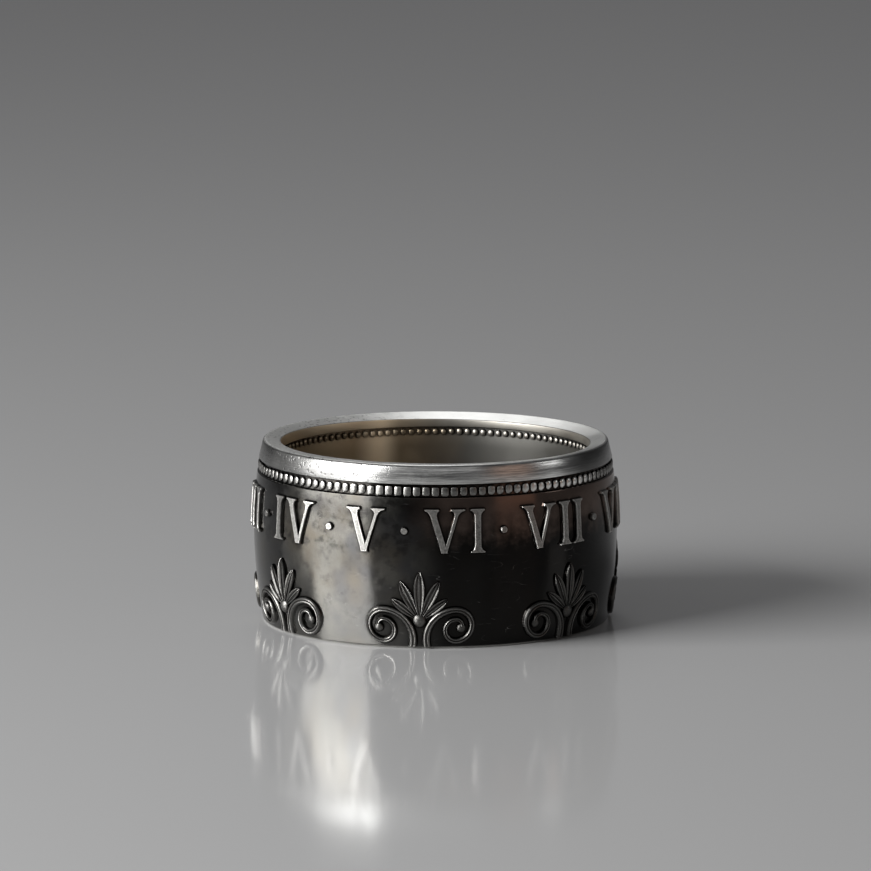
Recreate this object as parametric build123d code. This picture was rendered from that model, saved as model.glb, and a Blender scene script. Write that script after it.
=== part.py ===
from build123d import *
from math import cos, degrees, pi, radians, sin, sqrt
import os

os.makedirs("parts", exist_ok=True)

# A finger ring drawn from one struck silver disc: the disc's rim is the ring's upper edge and its
# face is the outer wall. The ring lies on its lower edge, with the axis of the finger hole along Z.
# Lengths are in millimetres.

# Band
outside_diameter = 24.0
band_height = 12.0
fullest_height = 6.1
crown_radius = 32.0
bore_diameter = 20.9
edge_round = 0.18

# Rim, the plain band along the upper edge, whose top slopes a little down to the lip inside
rim_height = 1.23
rim_lean = 0.24
crest_round = 0.2
top_fall = 0.2
lip_diameter = 20.4
lip_height = 0.9
lip_round = 0.1

# Bead rows, outside and inside, each in a shallow channel under the rim
groove_width = 0.12
bead_height = 0.66
bead_width = 0.5
bead_gap = 0.115
bead_relief = 0.16
inner_bead_height = 0.45
inner_bead_relief = 0.15

# Legend, a line of numerals with dots between them
numerals = ["I", "II", "III", "IV", "V", "VI", "VII", "VIII", "IX", "X", "XI", "XII"]
first_numeral_turn = -128.0
legend_drop = 0.75
letter_height = 2.9
letter_relief = 0.22
letter_gap = 0.26
stem_width = 0.5
hairline_width = 0.3
serif_length = 1.0
serif_thickness = 0.2
diagonal_reach = 1.75
dot_diameter = 0.5

# Ornament, palmettes between pairs of scrolls that stand on the lower edge
ornament_gap = 1.1
ornament_relief = 0.25
motif_pitch_share = 2.05
first_motif_turn = -5.0
relief_sink = 0.3

outer_radius = outside_diameter / 2
bore_radius = bore_diameter / 2
lip_radius = lip_diameter / 2

rim_foot = band_height - rim_height
bead_top = rim_foot - groove_width
bead_foot = bead_top - bead_height
field_top = bead_foot - groove_width / 2
lip_top = band_height - top_fall
lip_foot = band_height - lip_height
inner_bead_top = lip_foot - groove_width
inner_bead_foot = inner_bead_top - inner_bead_height
letter_top = bead_foot - legend_drop
letter_foot = letter_top - letter_height
ornament_height = letter_foot - ornament_gap


def wall_radius(z):
    """Radius of the crowned outer wall at height z."""
    return outer_radius - crown_radius + sqrt(crown_radius**2 - (z - fullest_height) ** 2)


def wall_arc(foot, top, rise=0.0):
    """The wall's curve in section between two heights, raised by the relief's height."""
    heights = (foot, (foot + top) / 2, top)
    return ThreePointArc(*[(wall_radius(z) + rise, z) for z in heights])


def turned(outline):
    """Turn an outline, drawn as radius and height, about the ring's axis."""
    return revolve(Plane.XZ * make_face(outline), Axis.Z)


def rounded(start, corner, end):
    """The round of an edge between two faces, bowed towards the corner that it takes off."""
    bow = sqrt(2) - 1
    middle = [(a + b) / 2 * (1 - bow) + c * bow for a, b, c in zip(start, end, corner)]
    return ThreePointArc(start, tuple(middle), end)


def band():
    """The plain turned band: crowned wall, bead channels, rim and lip."""
    rim_radius = wall_radius(rim_foot)
    crest_radius = rim_radius - rim_lean
    base_radius = wall_radius(0)
    outline = [
        Line((bore_radius + edge_round, 0), (base_radius - edge_round, 0)),
        rounded((base_radius - edge_round, 0), (base_radius, 0), (wall_radius(edge_round), edge_round)),
        wall_arc(edge_round, field_top),
        Polyline(
            (wall_radius(field_top), field_top),
            (wall_radius(bead_foot) - bead_relief, bead_foot),
            (rim_radius - bead_relief, rim_foot),
            (rim_radius, rim_foot),
            (crest_radius, band_height - crest_round),
        ),
        rounded(
            (crest_radius, band_height - crest_round),
            (crest_radius, band_height),
            (crest_radius - crest_round, band_height),
        ),
        Line((crest_radius - crest_round, band_height), (lip_radius + lip_round, lip_top)),
        rounded((lip_radius + lip_round, lip_top), (lip_radius, lip_top), (lip_radius, lip_top - lip_round)),
        Polyline(
            (lip_radius, lip_top - lip_round),
            (lip_radius, lip_foot),
            (bore_radius + inner_bead_relief / 2, lip_foot),
            (bore_radius, inner_bead_foot - groove_width),
            (bore_radius, edge_round),
        ),
        rounded((bore_radius, edge_round), (bore_radius, 0), (bore_radius + edge_round, 0)),
    ]
    return turned(outline)


def bead_row(foot, top, root_radius, shoulder_radius, crest_radius, count, gap):
    """A row of like beads: one domed section turned through a bead's width and copied round."""
    middle = (foot + top) / 2
    dome = ThreePointArc((shoulder_radius, foot), (crest_radius, middle), (shoulder_radius, top))
    sides = Polyline((shoulder_radius, top), (root_radius, top), (root_radius, foot), (shoulder_radius, foot))
    pitch = 360 / count
    width = pitch - degrees(gap / crest_radius)
    bead = revolve(Plane.XZ * make_face([dome, sides]), Axis.Z, width)
    return [Rot(0, 0, pitch * index) * bead for index in range(count)]


def outer_beads():
    crest = wall_radius((bead_foot + bead_top) / 2)
    root = wall_radius(bead_top) - bead_relief - relief_sink
    return bead_row(bead_foot, bead_top, root, crest - bead_relief / 2, crest, bead_count, bead_gap)


def inner_beads():
    crest = bore_radius - inner_bead_relief
    root = bore_radius + relief_sink
    return bead_row(inner_bead_foot, inner_bead_top, root, bore_radius, crest, bead_count, bead_gap)


def relief_layer(foot, top, relief):
    """The skin that a raised figure fills, from inside the wall to the relief's height."""
    outer_curve = wall_arc(foot, top, relief)
    buried = Polyline(
        outer_curve @ 1,
        (wall_radius(top) - relief_sink, top),
        (wall_radius(foot) - relief_sink, foot),
        outer_curve @ 0,
    )
    return turned([outer_curve, buried])


def raise_figure(sketch, foot, layer):
    """Stand a flat figure on the front of the ring and keep what lies in the relief layer."""
    front = Plane(origin=(0, -bore_radius, foot), x_dir=(1, 0, 0), z_dir=(0, -1, 0))
    return extrude(front * sketch, outer_radius) & layer


def stem(foot_x, top_x, width):
    """A stem of a letter from the base line to the cap line, its width measured level."""
    half = width / 2
    corners = [
        (foot_x - half, 0),
        (foot_x + half, 0),
        (top_x + half, letter_height),
        (top_x - half, letter_height),
    ]
    return make_face(Polyline(*corners, close=True))


def serif(x, at_top):
    """A bracketed serif across a stem's end."""
    edge = letter_height if at_top else 0
    inward = -1 if at_top else 1
    half = serif_length / 2
    bracket = 2 * serif_thickness
    corners = [
        (x - half, edge),
        (x + half, edge),
        (x + half, edge + inward * serif_thickness / 2),
        (x + stem_width / 2, edge + inward * bracket),
        (x - stem_width / 2, edge + inward * bracket),
        (x - half, edge + inward * serif_thickness / 2),
    ]
    return make_face(Polyline(*corners, close=True))


def letter_i():
    return stem(0, 0, stem_width) + serif(0, False) + serif(0, True)


def letter_v():
    reach = diagonal_reach / 2
    return (
        stem(0, -reach, stem_width)
        + stem(0, reach, hairline_width)
        + serif(-reach, True)
        + serif(reach, True)
    )


def letter_x():
    reach = diagonal_reach / 2
    return (
        stem(reach, -reach, stem_width)
        + stem(-reach, reach, hairline_width)
        + serif(-reach, True)
        + serif(reach, True)
        + serif(-reach, False)
        + serif(reach, False)
    )


letter_width = {
    "I": serif_length,
    "V": serif_length + diagonal_reach,
    "X": serif_length + diagonal_reach,
}


def numeral_width(numeral):
    return sum(letter_width[letter] for letter in numeral) + letter_gap * (len(numeral) - 1)


def legend():
    """The numerals set round the ring with equal spaces, and a dot in the middle of each space."""
    layer = relief_layer(letter_foot - edge_round, letter_top + edge_round, letter_relief)
    shapes = {"I": letter_i(), "V": letter_v(), "X": letter_x()}
    letters = {name: raise_figure(shape, letter_foot, layer) for name, shape in shapes.items()}
    middle = letter_foot + letter_height / 2
    dot = raise_figure(Circle(dot_diameter / 2), middle, layer)
    radius = wall_radius(middle)
    written = sum(numeral_width(numeral) for numeral in numerals)
    space = (2 * pi * radius - written) / len(numerals)
    raised = []
    along = radians(first_numeral_turn) * radius
    for numeral in numerals:
        for letter in numeral:
            centre = along + letter_width[letter] / 2
            raised.append(Rot(0, 0, degrees(centre / radius)) * letters[letter])
            along += letter_width[letter] + letter_gap
        along += space - letter_gap
        raised.append(Rot(0, 0, degrees((along - space / 2) / radius)) * dot)
    return raised


# The ornament's figure, in shares of its height. A scroll is a chain of arcs from its root on the
# lower edge to its eye, and each arc has a radius and a turn in degrees.
scroll_root = (0.11, -0.02)
scroll_arcs = [
    {"radius": 0.378, "turn": 112.0},
    {"radius": 0.2, "turn": 180.0},
    {"radius": 0.14, "turn": 180.0},
    {"radius": 0.075, "turn": 120.0},
]
scroll_width = 0.08
scroll_eye = 0.065
# A palmette is a fan of leaves from one root, and each pair leans by an angle from upright.
palmette_root = 0.36
palmette_leaves = [
    {"lean": 0.0, "length": 0.62, "width": 0.15},
    {"lean": 26.0, "length": 0.56, "width": 0.135},
    {"lean": 52.0, "length": 0.45, "width": 0.12},
]
calyx_radius = 0.09


def scroll():
    """One scroll to the right of the motif's middle."""
    size = ornament_height
    point = Vector(scroll_root[0] * size, scroll_root[1] * size)
    first_heading = radians(scroll_arcs[0]["turn"])
    heading = Vector(cos(first_heading), sin(first_heading))
    arcs = []
    for row in scroll_arcs:
        arc = JernArc(point, heading, row["radius"] * size, -row["turn"])
        arcs.append(arc)
        point = arc @ 1
        heading = arc % 1
    eye = Pos(point.X, point.Y) * Circle(scroll_eye * size)
    return trace(arcs, scroll_width * size) + eye


def palmette():
    """The fan of leaves in the middle of the motif."""
    size = ornament_height
    root = Pos(0, palmette_root * size)
    fan = root * Circle(calyx_radius * size)
    for row in palmette_leaves:
        leaf = Pos(0, row["length"] * size / 2) * Ellipse(row["width"] * size / 2, row["length"] * size / 2)
        for side in {row["lean"], -row["lean"]}:
            fan += root * Rot(0, 0, side) * leaf
    return fan


def ornament():
    """The motif of two scrolls and a palmette, repeated round the lower edge."""
    count = round(2 * pi * outer_radius / (ornament_height * motif_pitch_share))
    layer = relief_layer(edge_round, ornament_height + edge_round, ornament_relief)
    right = scroll()
    figure = right + mirror(right, Plane.YZ) + palmette()
    motif = raise_figure(figure, 0, layer)
    return [Rot(0, 0, first_motif_turn + 360 / count * index) * motif for index in range(count)]


bead_count = round(2 * pi * wall_radius(bead_foot) / (bead_width + bead_gap))

coin_ring = band().fuse(*outer_beads(), *inner_beads(), *legend(), *ornament())
coin_ring.label = "coin_ring"
export_step(coin_ring, "parts/coin_ring.step")
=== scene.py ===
import math
import random

import bpy
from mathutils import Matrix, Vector


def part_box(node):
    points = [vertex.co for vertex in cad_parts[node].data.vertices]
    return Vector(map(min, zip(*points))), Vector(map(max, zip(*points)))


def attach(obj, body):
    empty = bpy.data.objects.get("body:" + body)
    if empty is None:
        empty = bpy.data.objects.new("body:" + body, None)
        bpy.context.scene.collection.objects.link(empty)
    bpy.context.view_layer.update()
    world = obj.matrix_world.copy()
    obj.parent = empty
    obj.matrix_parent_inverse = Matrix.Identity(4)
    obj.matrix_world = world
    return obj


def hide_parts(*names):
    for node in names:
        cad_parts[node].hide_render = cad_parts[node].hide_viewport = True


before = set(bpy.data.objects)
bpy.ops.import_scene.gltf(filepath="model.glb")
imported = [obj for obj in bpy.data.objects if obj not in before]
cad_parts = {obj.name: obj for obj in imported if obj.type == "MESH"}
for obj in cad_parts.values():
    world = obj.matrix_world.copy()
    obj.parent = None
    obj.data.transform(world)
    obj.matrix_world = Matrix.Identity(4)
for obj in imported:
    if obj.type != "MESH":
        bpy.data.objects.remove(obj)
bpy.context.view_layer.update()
bpy.ops.object.select_all(action="DESELECT")


# Camera. The photograph looks at the ring through a long lens from about 450 mm away, 10 degrees
# above level, and the ring stands a little below the middle of the picture.
mm = 0.001
low, high = (Vector(corner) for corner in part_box("coin_ring"))
band_height = high.z - low.z
picture_side = 871
ring_middle_row = 527.0
focal_pixels = 6803.5
sensor_width = 36.0
camera_distance = 450.3 * mm
sight_angle = math.radians(9.85)

aim_above_ring = math.atan((ring_middle_row - picture_side / 2) / focal_pixels)
bpy.ops.object.camera_add(
    location=(
        0,
        -camera_distance * math.cos(sight_angle),
        band_height / 2 + camera_distance * math.sin(sight_angle),
    ),
    rotation=(math.pi / 2 - sight_angle + aim_above_ring, 0, 0),
)
camera = bpy.context.object
camera.name = "photo_camera"
camera.data.sensor_width = sensor_width
camera.data.lens = focal_pixels / picture_side * sensor_width
camera.data.clip_start = 1 * mm
bpy.context.scene.camera = camera


# The band. One disc of silver is punched and drawn over a cone until its face is the outer wall. The
# wall is crowned, the disc's rim is the plain band along the top with a lip inside, and both edges are
# filed round. It is turned here row by row, from the foot of the bore round the outside and back.
outer_radius = 12.0 * mm
crown_radius = 32.0 * mm
fullest_height = 6.1 * mm
bore_radius = 10.45 * mm
lip_radius = 10.2 * mm
edge_round = 0.18 * mm
crest_round = 0.2 * mm
rim_height = 1.23 * mm
rim_lean = 0.24 * mm
rim_foot_round = 0.06 * mm
top_fall = 0.2 * mm
top_fall_swing = 0.16 * mm
lowest_lip_turn = math.radians(155)
top_rows = [0.1, 0.5, 0.9]
lip_height = 0.9 * mm
lip_round = 0.1 * mm
groove_width = 0.12 * mm
bead_height = 0.66 * mm
bead_relief = 0.16 * mm
inner_bead_height = 0.45 * mm
inner_bead_relief = 0.15 * mm
channel_round = 0.05 * mm
band_columns = 360
wall_rows = 40
bore_rows = 16
round_rows = 4
weld = 0.001 * mm

rim_foot = band_height - rim_height
bead_foot = rim_foot - groove_width - bead_height
field_top = bead_foot - groove_width / 2
lip_top = band_height - top_fall
lip_foot = band_height - lip_height
inner_bead_foot = lip_foot - groove_width - inner_bead_height
channel_foot = inner_bead_foot - groove_width


def crown(z):
    """Radius of the crowned wall at height z."""
    return outer_radius - crown_radius + math.sqrt(crown_radius**2 - (z - fullest_height) ** 2)


def rounding(centre_radius, centre_height, radius, start, sweep):
    """Rows of a rounded edge, from one angle in degrees through a sweep."""
    rows = []
    for step in range(round_rows + 1):
        angle = math.radians(start + sweep * step / round_rows)
        rows.append((centre_radius + radius * math.cos(angle), centre_height + radius * math.sin(angle)))
    return rows


def spaced(first, last, count):
    """Equally spaced values between two ends, without the ends."""
    return [first + (last - first) * step / count for step in range(1, count)]


def edit(piece):
    """Take one piece into edit mode with all of it selected."""
    bpy.ops.object.select_all(action="DESELECT")
    bpy.context.view_layer.objects.active = piece
    piece.select_set(True)
    bpy.ops.object.mode_set(mode="EDIT")
    bpy.ops.mesh.select_all(action="SELECT")


def leave_edit():
    """Turn the skin of the piece in hand outwards, and leave edit mode."""
    bpy.ops.mesh.select_all(action="SELECT")
    bpy.ops.mesh.normals_make_consistent(inside=False)
    bpy.ops.object.mode_set(mode="OBJECT")


rim_radius = crown(rim_foot)
crest_radius = rim_radius - rim_lean
crest_end = crest_radius - crest_round
lip_start = lip_radius + lip_round
top_run = lip_start - crest_end
band_profile = [
    *rounding(bore_radius + edge_round, edge_round, edge_round, 180, 90),
    *rounding(crown(edge_round) - edge_round, edge_round, edge_round, -90, 90),
    *[(crown(z), z) for z in spaced(edge_round, field_top - channel_round, wall_rows)],
    *rounding(crown(field_top) - channel_round, field_top - channel_round, channel_round, 0, 60),
    (crown(bead_foot) - bead_relief, bead_foot),
    (rim_radius - bead_relief, rim_foot),
    *rounding(rim_radius - rim_foot_round, rim_foot + rim_foot_round, rim_foot_round, -90, 80),
    *rounding(crest_end, band_height - crest_round, crest_round, 10, 80),
    *[(crest_end + top_run * share, band_height - top_fall * share) for share in top_rows],
    *rounding(lip_start, lip_top - lip_round, lip_round, 90, 90),
    *rounding(lip_radius + rim_foot_round, lip_foot + rim_foot_round, rim_foot_round, 180, 90),
    (bore_radius + inner_bead_relief / 2, lip_foot),
    (bore_radius, channel_foot),
    *[(bore_radius, z) for z in spaced(channel_foot, edge_round, bore_rows)],
]

first_radius, first_height = band_profile[0]
bpy.ops.mesh.primitive_circle_add(
    vertices=band_columns, radius=first_radius, location=(0, 0, first_height)
)
band = bpy.context.object
edit(band)
next_rows = band_profile[1:] + band_profile[:1]
for (row_radius, row_height), (next_radius, next_height) in zip(band_profile, next_rows):
    grown = next_radius / row_radius
    bpy.ops.mesh.extrude_region_move(
        TRANSFORM_OT_translate={"value": (0, 0, next_height - row_height)}
    )
    bpy.ops.transform.resize(value=(grown, grown, 1), center_override=(0, 0, next_height))
bpy.ops.mesh.select_all(action="SELECT")
bpy.ops.mesh.remove_doubles(threshold=weld)
leave_edit()
bpy.ops.object.transform_apply(location=True, rotation=True, scale=True)
# The top falls inwards by hand's work, almost level at the front and most behind.
for vertex in band.data.vertices:
    reach = math.hypot(vertex.co.x, vertex.co.y)
    if vertex.co.z > lip_foot + rim_foot_round + weld and reach < crest_end:
        share = min((crest_end - reach) / (crest_end - lip_start), 1)
        swing = math.cos(math.atan2(vertex.co.x, -vertex.co.y) - lowest_lip_turn)
        vertex.co.z -= top_fall_swing * swing * share


# The bead rows. Each row is struck with the disc, a file of small cushions under the rim, outside and
# inside, and no two of them come out of a worn die quite alike. Each is a divided cube, pulled round.
bead_count = 120
bead_width = 0.53 * mm
inner_bead_width = 0.38 * mm
bead_depth = 0.5 * mm
bead_cuts = 3
bead_flatness = 3.6
bead_wander = 0.06
bead_seed = 7
inner_bead_seed = 8
# How square a bead's plan is: round at 2, and squarer the higher the power. Squarer beads come in
# stretches round the row, the first of them at the front.
roundest = 2.4
squareness_gain = 2.4
squarest_turn = -0.14
square_stretches = 3
inner_squareness = 2.8
# The die slipped, so that some stretches of beads have a small tail to the left of their foot.
longest_tail = 0.12 * mm
tailed_turn = -0.84
tailed_stretches = 2


def outer_bead_form(turn):
    """Squareness and tail of a bead: square at the front, round beside it and tailed at the left."""
    squareness = roundest + squareness_gain * max(math.cos(square_stretches * (turn - squarest_turn)), 0)
    tail = longest_tail * max(math.cos(tailed_stretches * (turn - tailed_turn)), 0)
    return squareness, tail


def cube_row(crest, middle, width, tall, outward):
    """A divided cube, half sunk under the crest at the front, copied round the ring."""
    sunk = crest - outward * bead_depth / 2
    bpy.ops.mesh.primitive_cube_add(size=2, location=(0, -sunk, middle))
    row = bpy.context.object
    row.scale = (width / 2, bead_depth / 2, tall / 2)
    bpy.ops.object.transform_apply(location=True, rotation=True, scale=True)
    edit(row)
    bpy.ops.mesh.subdivide(number_cuts=bead_cuts)
    bpy.ops.object.mode_set(mode="OBJECT")
    bpy.ops.object.empty_add(rotation=(0, 0, math.tau / bead_count))
    turner = bpy.context.object
    bpy.ops.object.select_all(action="DESELECT")
    bpy.context.view_layer.objects.active = row
    bpy.ops.object.modifier_add(type="ARRAY")
    copies = row.modifiers[-1]
    copies.count = bead_count
    copies.use_relative_offset = False
    copies.use_object_offset = True
    copies.offset_object = turner
    bpy.ops.object.modifier_apply(modifier=copies.name)
    bpy.data.objects.remove(turner)
    return row, sunk


def cushion(sides, squareness):
    """Pull a cube's point, given across, out and up, onto a cushion with a flattened face."""
    across, out, up = [abs(side) for side in sides]
    plan = (across**squareness + up**squareness) ** (1 / squareness)
    pull = (plan**bead_flatness + out**bead_flatness) ** (-1 / bead_flatness)
    return [side * pull for side in sides]


def bead_row(crest, foot, width, tall, outward, forms, seed):
    """One row of cushions, each rounded by its own form, a little larger or smaller and slipped."""
    middle = foot + tall / 2
    row, sunk = cube_row(crest, middle, width, tall, outward)
    per_bead = len(row.data.vertices) // bead_count
    wander = random.Random(seed)
    for index, (squareness, tail) in enumerate(forms):
        turn = math.tau * index / bead_count
        out = Vector((math.sin(turn), -math.cos(turn), 0))
        across = Vector((math.cos(turn), math.sin(turn), 0))
        centre = out * sunk + Vector((0, 0, middle))
        grown = 1 + wander.uniform(-1, 1) * bead_wander
        slipped = wander.uniform(-1, 1) * bead_wander * tall / 2
        for vertex in row.data.vertices[index * per_bead : (index + 1) * per_bead]:
            offset = vertex.co - centre
            sides = (offset.dot(across) * 2 / width, offset.dot(out) * 2 / bead_depth, offset.z * 2 / tall)
            u, depth, w = cushion(sides, squareness)
            lower = max(-w, 0)
            aside = u * width / 2 * grown - tail * lower**2
            rise = w * tall / 2 * grown + slipped - tail * lower * max(-u, 0)
            vertex.co = centre + out * depth * bead_depth / 2 + across * aside + Vector((0, 0, rise))
    return row


outer_beads = bead_row(
    crown(bead_foot + bead_height / 2),
    bead_foot,
    bead_width,
    bead_height,
    1,
    [outer_bead_form(math.tau * index / bead_count) for index in range(bead_count)],
    bead_seed,
)
inner_beads = bead_row(
    bore_radius - inner_bead_relief,
    inner_bead_foot,
    inner_bead_width,
    inner_bead_height,
    -1,
    [(inner_squareness, 0)] * bead_count,
    inner_bead_seed,
)


# The legend. Plain Roman numerals run round the upper part of the field with a dot between each two,
# struck about a fifth of a millimetre high, with a rounded arris and a little draft down to the field.
numerals = ["I", "II", "III", "IV", "V", "VI", "VII", "VIII", "IX", "X", "XI", "XII"]
first_numeral_turn = math.radians(-128.0)
legend_drop = 0.75 * mm
letter_height = 2.9 * mm
letter_gap = 0.26 * mm
stem_width = 0.5 * mm
hairline_width = 0.3 * mm
serif_length = 1.0 * mm
serif_thickness = 0.15 * mm
bracket_rise = 2 * serif_thickness
diagonal_reach = 1.75 * mm
dot_diameter = 0.5 * mm
letter_root = -0.2 * mm
letter_draft = 0.03 * mm
waist = 0.08
stem_rows = 4
bracket_points = 4
dot_corners = 20
cut_spacing = 0.3 * mm
cut_tolerance = weld / 10
plate_weld = weld * 5
facing_out = -0.9
straight = math.radians(1)
# Each step of the arris: how far the outline draws in, and how far the face rises.
letter_steps = [
    (0.03 * mm, 0.05 * mm),
    (0.02 * mm, 0.09 * mm),
    (0.015 * mm, 0.05 * mm),
    (0.025 * mm, 0.03 * mm),
]
letter_width = {"I": serif_length, "V": serif_length + diagonal_reach, "X": serif_length + diagonal_reach}

letter_foot = bead_foot - legend_drop - letter_height
letter_middle = letter_foot + letter_height / 2


def outlined(corners):
    """A flat face with the given corners, in hand to be drawn out."""
    bpy.ops.mesh.primitive_circle_add(vertices=len(corners), fill_type="NGON")
    piece = bpy.context.object
    for vertex, corner in zip(piece.data.vertices, corners):
        vertex.co = corner
    edit(piece)
    return piece


def plate(outline):
    """A flat plate with the given outline, standing on the front from its root to the field."""
    piece = outlined([(x, -letter_root, z) for x, z in outline])
    bpy.ops.mesh.extrude_region_move(TRANSFORM_OT_translate={"value": (0, letter_root, 0)})
    leave_edit()
    return piece


def fuse(piece, other, solver="MANIFOLD"):
    """Join another closed piece to this one as one skin, as struck metal is."""
    bpy.ops.object.select_all(action="DESELECT")
    bpy.context.view_layer.objects.active = piece
    bpy.ops.object.modifier_add(type="BOOLEAN")
    joint = piece.modifiers[-1]
    joint.operation = "UNION"
    joint.solver = solver
    joint.object = other
    bpy.ops.object.modifier_apply(modifier=joint.name)
    bpy.data.objects.remove(other)


def select_face(piece):
    """Select the front of a plate, which lies at the field and looks out from the ring."""
    bpy.ops.object.select_all(action="DESELECT")
    bpy.context.view_layer.objects.active = piece
    bpy.context.tool_settings.mesh_select_mode = (False, False, True)
    for part in (piece.data.vertices, piece.data.edges):
        part.foreach_set("select", [False] * len(part))
    for face in piece.data.polygons:
        face.select = face.normal.y < facing_out and abs(face.center.y) < plate_weld
    bpy.ops.object.mode_set(mode="EDIT")


def round_arris(piece):
    """Round a plate's arris by drawing its face in and up in steps."""
    select_face(piece)
    for inward, upward in letter_steps:
        bpy.ops.mesh.inset(thickness=inward, depth=upward, use_even_offset=True)
    bpy.ops.object.mode_set(mode="OBJECT")


def slice_across(piece):
    """Cut a flat piece into narrow columns, so that it can follow the wall's curve."""
    reach = max(abs(vertex.co.x) for vertex in piece.data.vertices)
    cuts = int(reach / cut_spacing)
    edit(piece)
    for index in range(-cuts, cuts + 1):
        bpy.ops.mesh.select_all(action="SELECT")
        bpy.ops.mesh.bisect(
            plane_co=(index * cut_spacing, 0, 0), plane_no=(1, 0, 0), threshold=cut_tolerance
        )
    bpy.ops.object.mode_set(mode="OBJECT")


def lay_on_wall(piece, turn):
    """Bend a flat piece round the crowned wall, its middle at a turn from the front."""
    for vertex in piece.data.vertices:
        x, y, z = vertex.co
        angle = turn + x / outer_radius
        radius = crown(z) - y
        vertex.co = (radius * math.sin(angle), -radius * math.cos(angle), z)


def copy_of(piece):
    """A copy with its own mesh."""
    twin = piece.copy()
    twin.data = piece.data.copy()
    bpy.context.collection.objects.link(twin)
    return twin


def gather(pieces):
    """Gather separate pieces into one object."""
    bpy.ops.object.select_all(action="DESELECT")
    for piece in pieces:
        piece.select_set(True)
    bpy.context.view_layer.objects.active = pieces[0]
    bpy.ops.object.join()
    return pieces[0]


def stem(foot_x, top_x, width):
    """The plate of a stem, waisted in its middle and longer by the draft at each end."""
    rows = []
    for step in range(stem_rows + 1):
        rise = step / stem_rows
        half = width / 2 * (1 - waist * (1 - (2 * rise - 1) ** 2)) + letter_draft
        up = rise * letter_height + letter_draft * ((step == stem_rows) - (step == 0))
        rows.append((foot_x + (top_x - foot_x) * rise, half, letter_foot + up))
    outline = [(x + half, z) for x, half, z in rows]
    outline += [(x - half, z) for x, half, z in reversed(rows)]
    return plate(outline)


def serif(x, lean, width, end):
    """The plate of a bracketed serif across a stem's foot or top, leaning with the stem."""
    neck = width / 2 + letter_draft
    tip = serif_length / 2 + letter_draft
    inward = 1 if end == "foot" else -1
    edge = letter_foot + (letter_height if end == "top" else 0)
    bracket = [(tip, -letter_draft)]
    for step in range(bracket_points + 1):
        angle = math.pi / 2 * step / bracket_points
        across = tip - (tip - neck) * math.sin(angle)
        bracket.append((across, serif_thickness + letter_draft + bracket_rise * (1 - math.cos(angle))))
    outline = []
    for side, half in ((1, bracket), (-1, reversed(bracket))):
        for across, up in half:
            outline.append((x + side * across + lean * inward * max(up, 0), edge + inward * up))
    return plate(outline)


def stroke(foot_x, top_x, width, *serif_ends):
    """The plates of one stroke of a letter: its stem, and a serif at each end named."""
    lean = (top_x - foot_x) / letter_height
    ends = {"foot": foot_x, "top": top_x}
    return [stem(foot_x, top_x, width)] + [serif(ends[end], lean, width, end) for end in serif_ends]


def letter(*plates):
    """Fuse flat plates into one letter, round its arris and cut it to follow the wall."""
    shape = plates[0]
    for other in plates[1:]:
        fuse(shape, other, "EXACT")
    edit(shape)
    bpy.ops.mesh.remove_doubles(threshold=plate_weld)
    bpy.ops.mesh.dissolve_limited(angle_limit=straight)
    bpy.ops.object.mode_set(mode="OBJECT")
    round_arris(shape)
    slice_across(shape)
    return shape


def dot():
    """The round stop between two numerals."""
    radius = dot_diameter / 2 + letter_draft
    corners = []
    for step in range(dot_corners):
        angle = math.tau * step / dot_corners
        corners.append((radius * math.cos(angle), letter_middle + radius * math.sin(angle)))
    piece = plate(corners)
    round_arris(piece)
    return piece


def numeral_width(numeral):
    """Length of a numeral along the wall."""
    return sum(letter_width[name] for name in numeral) + letter_gap * (len(numeral) - 1)


half_reach = diagonal_reach / 2
letters = {
    "I": letter(*stroke(0, 0, stem_width, "foot", "top")),
    "V": letter(
        *stroke(0, -half_reach, stem_width, "top"),
        *stroke(0, half_reach, hairline_width, "top"),
    ),
    "X": letter(
        *stroke(half_reach, -half_reach, stem_width, "foot", "top"),
        *stroke(-half_reach, half_reach, hairline_width, "foot", "top"),
    ),
    ".": dot(),
}
written = sum(numeral_width(numeral) for numeral in numerals)
numeral_space = (math.tau * outer_radius - written) / len(numerals)
struck_letters = []
along = first_numeral_turn * outer_radius
for numeral in numerals:
    places = []
    for name in numeral:
        places.append((name, along + letter_width[name] / 2))
        along += letter_width[name] + letter_gap
    along += numeral_space - letter_gap
    places.append((".", along - numeral_space / 2))
    for name, place in places:
        struck_letters.append(copy_of(letters[name]))
        lay_on_wall(struck_letters[-1], place / outer_radius)
for shape in letters.values():
    bpy.data.objects.remove(shape)
legend = gather(struck_letters)


# The ornament. Palmettes of five cupped leaves stand between pairs of scrolls on the lower edge, which
# cuts off their roots, as the hole is punched through the disc's design.
ornament_gap = 1.1 * mm
ornament_relief = 0.25 * mm
motif_count = 7
first_motif_turn = math.radians(-5.0)
ornament_height = letter_foot - ornament_gap
# The scroll is a chain of arcs: radius in shares of the ornament's height, turn in degrees, and steps.
scroll_root = (0.11, -0.02)
scroll_arcs = [(0.378, 112.0, 12), (0.2, 180.0, 12), (0.14, 180.0, 12), (0.075, 120.0, 8)]
scroll_root_width = 0.1
scroll_eye_width = 0.055
scroll_eye = 0.065
# The scroll's section: half its width, and its height above the field, from the foot of its draft up.
scroll_section = [
    (0.62, -1.0),
    (0.62, -0.08),
    (0.54, 0.12),
    (0.46, 0.52),
    (0.36, 0.84),
    (0.23, 1.0),
    (0.12, 0.95),
    (0.05, 0.72),
]
# A leaf's lean in degrees, and its length, width and height in shares of the ornament's.
palmette_leaves = [(0.0, 0.62, 0.15, 1.0), (26.0, 0.56, 0.135, 0.9), (52.0, 0.45, 0.12, 0.8)]
palmette_root = 0.36
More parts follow.
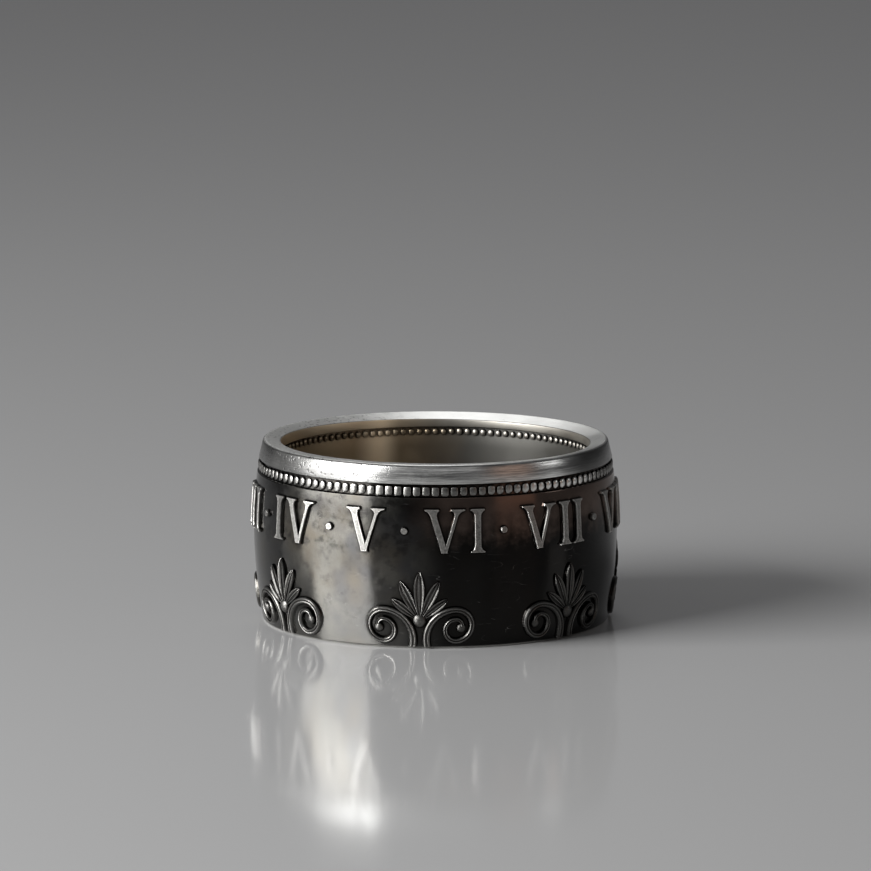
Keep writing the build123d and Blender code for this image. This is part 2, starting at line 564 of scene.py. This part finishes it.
# A leaf's section, as the scroll's: it has a raised edge, a hollow on each side and a rib.
leaf_section = [
    (1.06, -0.8),
    (1.06, -0.08),
    (1.0, 0.12),
    (0.92, 0.72),
    (0.8, 0.95),
    (0.62, 0.9),
    (0.36, 0.55),
    (0.14, 0.6),
    (0.06, 0.95),
]
leaf_steps = 14
# Where the leaf's rows start and how far they run, in shares of a half turn, so that both tips are fine.
leaf_start = 0.04
leaf_run = 0.95
leaf_fullest = 0.62
leaf_fullness = 0.7
leaf_crest = 0.4
calyx_radius = 0.09
boss_segments = 20
boss_rings = 12
eye_rise = 1.1
calyx_rise = 1.2


def drawn_section(section, width, height, centre, across):
    """A section's face, set up across its path and in hand to be drawn along it."""
    half = [(share * width, rise * height) for share, rise in section]
    outline = half + [(-aside, rise) for aside, rise in reversed(half)]
    return outlined([centre + across * aside + Vector((0, -rise, 0)) for aside, rise in outline])


def boss(point, share, rise):
    """A round boss, half sunk in the wall."""
    radius = share * ornament_height
    bpy.ops.mesh.primitive_uv_sphere_add(segments=boss_segments, ring_count=boss_rings, location=point)
    piece = bpy.context.object
    piece.scale = (radius, ornament_relief * rise, radius)
    bpy.ops.object.transform_apply(location=True, rotation=True, scale=True)
    return piece


def scroll():
    """Spin the domed section along the scroll's arcs, narrowing it towards the eye."""
    heading = math.radians(scroll_arcs[0][1])
    point = Vector((scroll_root[0], 0, scroll_root[1])) * ornament_height
    across = Vector((-math.sin(heading), 0, math.cos(heading)))
    piece = drawn_section(scroll_section, scroll_root_width * ornament_height, ornament_relief, point, across)
    steps = sum(count for _, _, count in scroll_arcs)
    taper = (scroll_eye_width / scroll_root_width) ** (1 / steps)
    for radius_share, turn, count in scroll_arcs:
        radius = radius_share * ornament_height
        bend = math.radians(turn / count)
        for _ in range(count):
            centre = point + radius * Vector((math.sin(heading), 0, -math.cos(heading)))
            bpy.ops.mesh.spin(steps=1, angle=-bend, center=centre, axis=(0, 1, 0))
            heading -= bend
            point = centre - radius * Vector((math.sin(heading), 0, -math.cos(heading)))
            bpy.ops.transform.resize(value=(taper, 1, taper), center_override=point)
    leave_edit()
    fuse(piece, boss(point, scroll_eye, eye_rise))
    return piece


def leaf(lean, length, width, height):
    """One cupped leaf of the palmette, its section drawn out along the leaf and narrowed to a tip."""
    lean = math.radians(lean)
    along = Vector((math.sin(lean), 0, math.cos(lean)))
    across = Vector((math.cos(lean), 0, -math.sin(lean)))
    root = Vector((0, 0, palmette_root * ornament_height))
    rows = []
    for step in range(leaf_steps + 1):
        share = 0.5 - 0.5 * math.cos(math.pi * (leaf_start + leaf_run * step / leaf_steps))
        bulge = math.sin(math.pi * share ** (math.log(0.5) / math.log(leaf_fullest))) ** leaf_fullness
        rows.append((share * length * ornament_height, bulge, bulge**leaf_crest))
    distance, bulge, rise = rows[0]
    piece = drawn_section(
        leaf_section,
        width / 2 * ornament_height * bulge,
        ornament_relief * height * rise,
        root + along * distance,
        across,
    )
    for (distance, bulge, rise), (next_distance, next_bulge, next_rise) in zip(rows, rows[1:]):
        grown = next_bulge / bulge
        bpy.ops.mesh.extrude_region_move(TRANSFORM_OT_translate={"value": along * (next_distance - distance)})
        bpy.ops.transform.resize(
            value=(grown, next_rise / rise, grown), center_override=root + along * next_distance
        )
    leave_edit()
    return piece


def palmette():
    """The fan of leaves, closed at its root by a round calyx."""
    fan = leaf(*palmette_leaves[0])
    for lean, length, width, height in palmette_leaves[1:]:
        for side in (lean, -lean):
            fuse(fan, leaf(side, length, width, height))
    fuse(fan, boss(Vector((0, 0, palmette_root * ornament_height)), calyx_radius, calyx_rise))
    return fan


right_scroll = scroll()
left_scroll = copy_of(right_scroll)
edit(left_scroll)
bpy.ops.transform.resize(value=(-1, 1, 1), center_override=(0, 0, 0))
leave_edit()
motif = palmette()
fuse(motif, right_scroll)
fuse(motif, left_scroll)
edit(motif)
bpy.ops.mesh.bisect(
    plane_co=(0, 0, edge_round), plane_no=(0, 0, 1), use_fill=True, clear_inner=True, threshold=cut_tolerance
)
bpy.ops.object.mode_set(mode="OBJECT")
slice_across(motif)
motifs = []
for index in range(motif_count):
    motifs.append(copy_of(motif))
    lay_on_wall(motifs[-1], first_motif_turn + math.tau * index / motif_count)
bpy.data.objects.remove(motif)
ornament = gather(motifs)


# The ring. It is one piece of metal, so the band, the beads, the legend and the ornament are closed into
# one skin, with its flats smooth and its corners kept.
smooth_angle = math.radians(35)
for figure in (outer_beads, inner_beads, legend, ornament):
    fuse(band, figure)
band.name = "silver_ring"
band.data.name = "silver_ring"
bpy.ops.object.select_all(action="DESELECT")
band.select_set(True)
bpy.context.view_layer.objects.active = band
bpy.ops.object.shade_smooth_by_angle(angle=smooth_angle)
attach(band, "root")
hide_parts("coin_ring")


# The finish. The struck silver is blackened all over and rubbed back by hand, so that the black stays in
# the field and in each corner, and the rim, the beads and the arrises of the letters come up bright.
# In places, shade, highlights and a warm reflection are painted into the colour as well.
class Reading:
    """A shader socket that sums can be written with, as with a number."""

    def __init__(self, finish, socket):
        self.finish = finish
        self.socket = socket

    def __add__(self, other):
        return self.finish.maths("ADD", self, other)

    def __radd__(self, other):
        return self.finish.maths("ADD", other, self)

    def __sub__(self, other):
        return self.finish.maths("SUBTRACT", self, other)

    def __rsub__(self, other):
        return self.finish.maths("SUBTRACT", other, self)

    def __mul__(self, other):
        return self.finish.maths("MULTIPLY", self, other)

    def __rmul__(self, other):
        return self.finish.maths("MULTIPLY", other, self)

    def __pow__(self, other):
        return self.finish.maths("POWER", self, other)

    def __abs__(self):
        return self.finish.maths("ABSOLUTE", self, 0.0)


class Finish:
    """One surface finish, and the nodes that it is mixed from."""

    def __init__(self, name, **constants):
        self.material = bpy.data.materials.new(name)
        self.material.use_nodes = True
        self.tree = self.material.node_tree
        self.shader = self.tree.nodes["Principled BSDF"]
        for socket, value in constants.items():
            self.feed(self.shader.inputs[socket.replace("_", " ")], value)

    def node(self, kind, settings, sockets, output=0):
        """Add a node: its settings first, then the value or the link of each socket."""
        made = self.tree.nodes.new(kind)
        for name, value in settings.items():
            setattr(made, name, value)
        for name, value in sockets.items():
            self.feed(made.inputs[name], value)
        return Reading(self, made.outputs[output])

    def feed(self, socket, value):
        """Give a socket a constant, or the reading that varies it."""
        if isinstance(value, Reading):
            self.tree.links.new(value.socket, socket)
        else:
            socket.default_value = value

    def maths(self, operation, first, second):
        return self.node("ShaderNodeMath", {"operation": operation}, {0: first, 1: second})

    def ramp(self, value, start, end):
        """0 at the start, 1 at the end, and smooth between them."""
        return self.node(
            "ShaderNodeMapRange",
            {"interpolation_type": "SMOOTHSTEP"},
            {"Value": value, "From Min": start, "From Max": end},
        )

    def noise(self, place, scale, detail, roughness=0.5):
        return self.node(
            "ShaderNodeTexNoise",
            {},
            {"Vector": place, "Scale": scale, "Detail": detail, "Roughness": roughness},
        )

    def mapped(self, place, scale, rotation=(0, 0, 0)):
        return self.node("ShaderNodeMapping", {}, {"Vector": place, "Scale": scale, "Rotation": rotation})

    def split(self, vector):
        """The three parts of a vector."""
        first = self.node("ShaderNodeSeparateXYZ", {}, {"Vector": vector})
        return [Reading(self, part) for part in first.socket.node.outputs]

    def mix(self, factor, first, second):
        """One colour over another, on the numbered sockets that the node has for colours."""
        return self.node(
            "ShaderNodeMix",
            {"data_type": "RGBA"},
            {"Factor": factor, 6: first, 7: second},
            output=2,
        )

    def layered(self, colour, layers):
        """Colours laid one over another, each where its mask says."""
        for mask, tone in layers:
            colour = self.mix(mask, colour, tone)
        return colour

    def bump(self, height, distance, normal=None):
        sockets = {"Height": height, "Distance": distance}
        if normal:
            sockets["Normal"] = normal
        return self.node("ShaderNodeBump", {}, sockets)


def in_mm(length):
    """A length of the ring, as the finish counts it."""
    return length / mm


silver = Finish("antiqued_silver", Metallic=1.0)
object_place = silver.node("ShaderNodeTexCoord", {}, {}, output="Object")
place_mm = silver.node("ShaderNodeVectorMath", {"operation": "SCALE"}, {0: object_place, "Scale": 1 / mm})
x, y, z = silver.split(place_mm)
from_axis = (x * x + y * y) ** 0.5
from_fullest = z - in_mm(fullest_height)
crown_drop = (in_mm(crown_radius) ** 2 - from_fullest * from_fullest) ** 0.5
above_wall = from_axis - in_mm(outer_radius - crown_radius) - crown_drop

# Where each part of the surface lies, in millimetres. Each mask is 1 on its part and fades at its edge.
rim_start = in_mm(rim_foot)
bead_start = in_mm(bead_foot)
lip_edge = in_mm(lip_foot)
bore_wall = in_mm(bore_radius)
legend_foot = in_mm(letter_foot)
facing = silver.node("ShaderNodeNewGeometry", {}, {}, output="Normal")
_, _, facing_up = silver.split(facing)
top_face = silver.ramp(facing_up, 0.6, 0.85) * silver.ramp(z, lip_edge + 0.2, lip_edge + 0.3)
outside = silver.maths("MAXIMUM", silver.ramp(from_axis, bore_wall + 0.25, bore_wall + 0.45), top_face)
inside = 1 - outside
rim = silver.ramp(z, rim_start - 0.04, rim_start) * outside
wall = outside - rim
bead_band = silver.ramp(z, bead_start - 0.06, bead_start)
beads = silver.ramp(above_wall, -0.13, -0.05) * bead_band * wall
raised = silver.ramp(above_wall, 0.06, 0.17) * wall
above_lip_foot = silver.ramp(z, lip_edge - 0.04, lip_edge)
lip = above_lip_foot * inside
inner_beaded = silver.ramp(bore_wall - from_axis, 0.03, 0.1) * (1 - above_lip_foot) * inside
foot = (1 - silver.ramp(z, 0.03, in_mm(edge_round))) * wall
legend_above = silver.ramp(z, legend_foot - 0.6, legend_foot + 0.4)
ornamented = 1 - silver.ramp(z, legend_foot - 0.6, legend_foot - 0.3)

# Arrises that a cloth reaches, and crevices that it doesn't.
arris_width = 0.09 * mm
crevice_reach = 0.6 * mm
bevel_samples = 6
crevice_samples = 12
softened = silver.node("ShaderNodeBevel", {"samples": bevel_samples}, {"Radius": arris_width})
agreement = silver.node(
    "ShaderNodeVectorMath", {"operation": "DOT_PRODUCT"}, {0: softened, 1: facing}, output="Value"
)
arris = silver.ramp(1 - agreement, 0.015, 0.11)
openness = silver.node(
    "ShaderNodeAmbientOcclusion",
    {"samples": crevice_samples, "only_local": True},
    {"Distance": crevice_reach},
    output="AO",
)
reached = silver.maths("MAXIMUM", silver.ramp(openness, 0.55, 1.0), 0.35 * inside)

# Wear. Blotches, clouds and grain differ in their scale, and streaks run along the rim from filing.
blotch = silver.noise(place_mm, 0.35, 4.0, 0.6)
tint = silver.noise(place_mm, 0.22, 2.0)
cloud = silver.noise(place_mm, 1.3, 4.0, 0.6)
grain = silver.noise(place_mm, 9.0, 3.0, 0.65)
grained = silver.ramp(grain, 0.35, 0.65)
streaks = silver.noise(silver.mapped(place_mm, (0.5, 0.5, 12.0)), 1.0, 6.0, 0.7)
hairs = silver.noise(silver.mapped(place_mm, (0.3, 1.0, 2.2), (0.5, 0.7, 0.9)), 0.9, 0.0)
scratch = (1 - silver.ramp(abs(hairs - 0.5), 0.0, 0.004)) * silver.ramp(cloud, 0.52, 0.6)
battered = silver.ramp(cloud - 0.08 * x, 0.65, 1.1)
cells = silver.node("ShaderNodeTexVoronoi", {}, {"Vector": place_mm, "Scale": 3.4})
pits = (1 - silver.ramp(cells, 0.16, 0.34)) * battered

# The field: mottled patina, lighter towards the foot, painted shade that blackens the right half, and brown
# under the beads at the right.
cool_patina = (0.062, 0.062, 0.062, 1)
warm_patina = (0.078, 0.07, 0.057, 1)
thin_patina = (0.1, 0.097, 0.087, 1)
thick_patina = (0.035, 0.034, 0.033, 1)
lower_field_tone = (0.15, 0.147, 0.138, 1)
right_half_painted_shade = (0.008, 0.0078, 0.0078, 1)
grime = (0.022, 0.021, 0.02, 1)
top_right_brown = (0.21, 0.155, 0.13, 1)
scratched_field = (0.3, 0.29, 0.28, 1)
# The field turns brown under the beads at the right.
browned_top_right = silver.ramp(z + 2.5 * cloud, 7.8, 10.8) * silver.ramp(x, -2.5, 1.5)
field_colour = silver.layered(
    silver.mix(silver.ramp(tint, 0.42, 0.62), cool_patina, warm_patina),
    [
        (silver.ramp(blotch, 0.42, 0.68), thin_patina),
        (silver.ramp(cloud, 0.5, 0.72) * 0.6, thick_patina),
        # The field is lighter towards the foot.
        ((1 - silver.ramp(z, 0.5, 4.5)) * 0.45, lower_field_tone),
        (silver.ramp(z, 7.5, 9.5) * 0.4, thick_patina),
        # Painted shade: the right half of the field is darkened almost to black.
        (silver.ramp(x, -3.6, 1.0) * 0.93, right_half_painted_shade),
        (silver.ramp(cloud, 0.44, 0.64) * legend_above * 0.6, grime),
        (browned_top_right * 0.85, top_right_brown),
        (scratch * 0.5, scratched_field),
    ],
)

# The letters and the ornament: grained faces and bright arrises, and the ornament is the darker, with painted
# shade growing towards the right.
dark_face = (0.16, 0.156, 0.148, 1)
light_face = (0.31, 0.303, 0.288, 1)
letter_arris = (0.85, 0.83, 0.79, 1)
ornament_tone_and_painted_shade = (0.04, 0.039, 0.037, 1)
foot_edge = (0.62, 0.61, 0.58, 1)
figure_colour = silver.layered(
    silver.mix(grained, dark_face, light_face),
    [
        (arris, letter_arris),
        # The ornament is darker in tone, and painted shade makes it darker still towards the right.
        (ornamented * (0.5 + 0.3 * silver.ramp(x, -3.6, 4.0)), ornament_tone_and_painted_shade),
    ],
)

# The outer beads: painted shade at the front, and a painted highlight at the right.
dark_bead = (0.17, 0.167, 0.16, 1)
light_bead = (0.35, 0.343, 0.325, 1)
bead_front_painted_shade = (0.07, 0.069, 0.066, 1)
bead_right_painted_highlight = (0.85, 0.84, 0.81, 1)
bead_arris = (0.8, 0.78, 0.74, 1)
bead_colour = silver.layered(
    silver.mix(grained, dark_bead, light_bead),
    [
        # Painted shade on the beads at the front, and a painted highlight on those at the right.
        ((1 - silver.ramp(abs(x - 0.4), 1.5, 4.0)) * 0.55, bead_front_painted_shade),
        (silver.ramp(x, 4.6, 7.0) * (1 - silver.ramp(x, 9.4, 10.8)) * 0.75, bead_right_painted_highlight),
        (arris, bead_arris),
    ],
)

# The rim: filed bright, battered and pitted at the left, and painted shade round the right end.
filed = (0.34, 0.34, 0.335, 1)
polished = (0.74, 0.74, 0.72, 1)
battered_rim = (0.15, 0.148, 0.144, 1)
pitted_rim = (0.09, 0.088, 0.085, 1)
scratched_rim = (0.2, 0.195, 0.19, 1)
rim_end_painted_shade = (0.05, 0.049, 0.048, 1)
rim_arris = (0.88, 0.87, 0.85, 1)
brushed = silver.ramp(streaks, 0.35, 0.65) * (1 - top_face) + 0.9 * top_face
# Painted shade round the rim's right end.
right_end_shade_mask = silver.ramp(x, 7.5, 10.0) * (1 - top_face * silver.ramp(y, -7.0, -1.0))
rim_colour = silver.layered(
    silver.mix(brushed, filed, polished),
    [
        (battered * (0.85 - 0.5 * top_face), battered_rim),
        (pits * 0.7, pitted_rim),
        (scratch * 0.6, scratched_rim),
        (right_end_shade_mask * 0.85, rim_end_painted_shade),
        (arris, rim_arris),
    ],
)

# The bore: a painted warm reflection at the left and grey at the right, with a painted bright highlight
# streak down it at the left.
bore_painted_warm_reflection = (0.47, 0.36, 0.235, 1)
grey_bore = (0.105, 0.103, 0.095, 1)
lip_painted_warm_reflection = (0.97, 0.8, 0.58, 1)
grey_lip = (0.32, 0.304, 0.272, 1)
inner_bead_painted_warm_reflection = (0.36, 0.29, 0.2, 1)
grey_inner_bead = (0.36, 0.343, 0.31, 1)
painted_warm_glint = (1.0, 0.84, 0.62, 1)
# A painted warm highlight: a bright streak down the bore at the left.
painted_glint_place = 1 - silver.ramp(abs(x + 3.9), 0.1, 1.7)
painted_glint_place = painted_glint_place * silver.ramp(y, 0.0, 3.0) * silver.ramp(z, 7.2, 9.0)
bore_colour = silver.layered(
    # Painted warm reflection on the bore, its lip and its beads at the left, grey at the right.
    silver.mix(silver.ramp(x + 4 * tint, -2.0, 5.0), bore_painted_warm_reflection, grey_bore),
    [
        (lip * 0.85, silver.mix(silver.ramp(x, -4.0, 1.0), lip_painted_warm_reflection, grey_lip)),
        (inner_beaded, silver.mix(silver.ramp(x, -1.0, 3.0), inner_bead_painted_warm_reflection, grey_inner_bead)),
        (painted_glint_place, painted_warm_glint),
    ],
)

crevice_black = (0.012, 0.011, 0.01, 1)
metal_colour = silver.layered(
    field_colour,
    [
        (raised, figure_colour),
        (foot * 0.8, foot_edge),
        (beads, bead_colour),
        (rim, rim_colour),
        (inside, bore_colour),
    ],
)
roughness = 0.13 + 0.08 * silver.ramp(blotch, 0.4, 0.7)
for mask, rise in [
    (rim, 0.06),
    (battered * rim, 0.08),
    (top_face, 0.12),
    (raised, 0.24),
    (raised * arris, -0.14),
    (beads, 0.14),
    (inside, 0.28),
    (painted_glint_place * inside, 0.2),
]:
    roughness = roughness + rise * mask
grain_depth = 0.006 * mm
pit_depth = 0.01 * mm
surface = silver.bump(grain * (0.12 + 0.6 * raised + 0.3 * beads), grain_depth)
surface = silver.bump((streaks * 0.7 - pits) * rim, pit_depth, surface)
silver.feed(silver.shader.inputs["Base Color"], silver.mix(reached, crevice_black, metal_colour))
silver.feed(silver.shader.inputs["Roughness"], roughness)
silver.feed(silver.shader.inputs["Normal"], surface)
band.data.materials.clear()
band.data.materials.append(silver.material)


# The studio. A pale glossy table in a dim room. The key is two panels at the left of the front, one over
# the other, with a faint fringe beside them. Faint ones light the front, the back and the top, and two
# small ones at the right, one of them warm, leave their glints on the rim.
table_size = 3.0
bpy.ops.mesh.primitive_plane_add(size=table_size)
floor = bpy.context.object
floor.name = "floor"
pale = Finish("pale_floor", Base_Color=(0.5, 0.5, 0.5, 1), Roughness=0.1, IOR=2.0)
floor.data.materials.append(pale.material)

white = (1, 1, 1)
amber = (1, 0.6, 0.42)
# Bearing of the panel's middle from the front and its spread, its lowest and highest elevation, all in
# degrees, then its distance in metres, its radiance and its tint.
panels = {
    "low_key_panel": (-67, 50, 1, 13, 0.4, 8.0, white),
    "high_key_panel": (-63, 44, 13, 36, 0.4, 18.0, white),
    "key_fringe": (-102, 22, 1, 32, 0.4, 0.9, white),
    "back_panel": (-174, 22, 28, 60, 0.6, 1.8, white),
    "over_panel": (180, 70, 60, 88, 0.15, 1.0, white),
    "front_panel": (-5, 70, 12, 34, 0.8, 0.28, white),
    "warm_panel": (52, 28, 1, 25, 0.5, 0.22, amber),
    "side_panel": (83, 14, 8, 24, 0.5, 1.5, white),
}


def soft_panel(name, bearing, spread, lowest, highest, distance, radiance, tint):
    """A soft light that faces the ring, between two bearings from the front and two elevations."""
    turn = math.radians(bearing)
    middle = math.radians((lowest + highest) / 2)
    where = Vector((math.sin(turn), -math.cos(turn), math.tan(middle))) * distance
    bpy.ops.object.light_add(type="AREA", location=where, rotation=where.to_track_quat("Z", "Y").to_euler())
    panel = bpy.context.object
    panel.name = name
    panel.data.shape = "RECTANGLE"
    panel.data.size = 2 * distance * math.tan(math.radians(spread / 2))
    panel.data.size_y = 2 * where.length * math.tan(math.radians((highest - lowest) / 2))
    panel.data.energy = radiance * math.pi * panel.data.size * panel.data.size_y
    panel.data.color = tint


for name, row in panels.items():
    soft_panel(name, *row)
room_light = (0.085, 0.085, 0.087, 1)
room = bpy.data.worlds.new("dim_room")
room.use_nodes = True
room.node_tree.nodes["Background"].inputs["Color"].default_value = room_light
bpy.context.scene.world = room
bpy.context.scene.view_settings.view_transform = "Standard"
